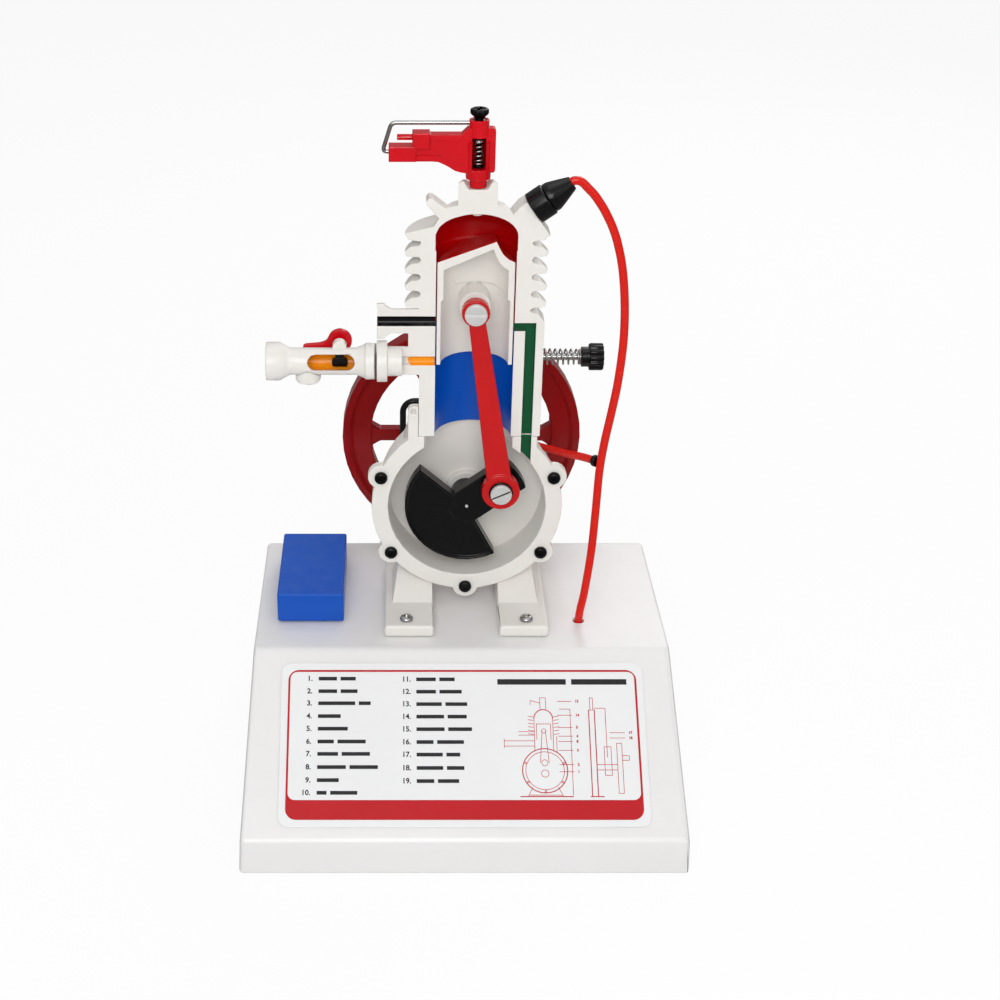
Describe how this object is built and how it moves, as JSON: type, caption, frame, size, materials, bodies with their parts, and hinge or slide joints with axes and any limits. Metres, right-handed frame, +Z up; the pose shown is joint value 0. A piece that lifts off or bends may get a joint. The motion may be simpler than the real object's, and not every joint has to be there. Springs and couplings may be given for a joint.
{
  "type": "two-stroke engine model",
  "caption": "Sectioned two-stroke diesel engine on a sloped display base, with a crank, piston, fuel pump, injector, choke and a flywheel to turn by hand.",
  "frame": {"origin": "middle of the base's underside", "axes": "+X to the viewer's right along the label, +Y from the label towards the flywheel, +Z up"},
  "size_m": [0.246, 0.2678, 0.385],
  "materials": {
    "white_casting": "gloss white paint",
    "white_shell": "smooth moulded",
    "board": "pressed board",
    "label": "printed sheet",
    "blue_paint": "gloss blue paint",
    "red_paint": "gloss red paint",
    "red_plastic": "moulded",
    "black_plastic": "moulded",
    "steel": "bright zinc",
    "dark_steel": "blackened",
    "hose": "soft hose",
    "gasket": "sheet"
  },
  "bodies": {
    "base": {"base_shell": "white_shell", "base_board": "board", "board_screw_front_left": "steel", "board_screw_front_right": "steel", "board_screw_rear_left": "steel", "board_screw_rear_right": "steel", "label_plate": "label", "fuel_tank": "blue_paint", "crankcase": "white_casting", "case_screw_1": "dark_steel", "case_screw_2": "dark_steel", "case_screw_3": "dark_steel", "case_screw_4": "dark_steel", "case_screw_5": "dark_steel", "foot_screw_front_left": "steel", "foot_screw_front_right": "steel", "foot_screw_rear_left": "steel", "foot_screw_rear_right": "steel", "cylinder_block": "white_casting", "intake_tube": "white_casting", "intake_gasket": "gasket", "intake_cap": "white_casting", "pump_housing": "white_casting", "pump_cover": "white_casting", "pump_spring": "steel", "pump_head": "white_casting", "pressure_valve": "steel", "suction_pipe": "black_plastic", "governor_spring": "steel", "injector_collar": "black_plastic", "injector_cone": "black_plastic", "nozzle_holder": "red_plastic", "nozzle_spring": "steel", "socket_wire": "steel", "delivery_hose": "hose", "branch_hose": "hose", "branch_band": "black_plastic"},
    "crank": {"crank_web": "black_plastic", "crankshaft": "steel", "pump_cam": "steel", "flywheel": "red_paint", "flywheel_nut": "steel", "handle_bolt": "steel"},
    "handle": {"handle_grip": "black_plastic"},
    "piston_body": {"piston": "white_casting", "wrist_pin": "steel"},
    "rod": {"connecting_rod": "red_paint", "crank_pin_bush": "black_plastic", "crank_pin": "steel"},
    "choke": {"choke_flap": "black_plastic", "choke_lever": "red_plastic"},
    "governor": {"governor_spindle": "steel", "governor_knob": "black_plastic"},
    "plunger": {"pump_plunger": "steel"},
    "adjuster": {"adjusting_screw": "dark_steel"},
    "needle": {"nozzle_needle": "dark_steel"}
  },
  "joints": [
    {"name": "crank_turn", "type": "hinge", "parent": "base", "child": "crank", "pos_m": [0.0032, 0.0269, 0.1563], "axis": [0, 1, 0], "continuous": true},
    {"name": "handle_spin", "type": "hinge", "parent": "crank", "child": "handle", "pos_m": [0.0242, 0.1307, 0.19267], "axis": [0, 1, 0], "continuous": true},
    {"name": "piston_slide", "type": "slide", "parent": "base", "child": "piston_body", "axis": [0, 0, 1], "range_m": [-0.0359, 0.0105]},
    {"name": "rod_swing", "type": "hinge", "parent": "piston_body", "child": "rod", "pos_m": [0.0054, 0.0269, 0.2779], "axis": [0, 1, 0], "range_deg": [-2.4, 22.1]},
    {"name": "choke_turn", "type": "hinge", "parent": "base", "child": "choke", "pos_m": [-0.068, 0.0269, 0.2552], "axis": [0, 1, 0], "range_deg": [-20, 20]},
    {"name": "governor_turn", "type": "hinge", "parent": "base", "child": "governor", "pos_m": [0.0689, 0.0769, 0.228], "axis": [1, 0, 0], "range_deg": [-180, 180]},
    {"name": "plunger_lift", "type": "slide", "parent": "base", "child": "plunger", "axis": [0, 0, 1], "range_m": [0, 0.0012], "deforming": ["pump_spring"]},
    {"name": "adjuster_turn", "type": "hinge", "parent": "base", "child": "adjuster", "pos_m": [0.0054, 0.0319, 0.38], "axis": [0, 0, 1], "range_deg": [-180, 180]},
    {"name": "needle_lift", "type": "slide", "parent": "base", "child": "needle", "axis": [0, 0, 1], "range_m": [0, 0.001], "deforming": ["nozzle_spring"]}
  ]
}
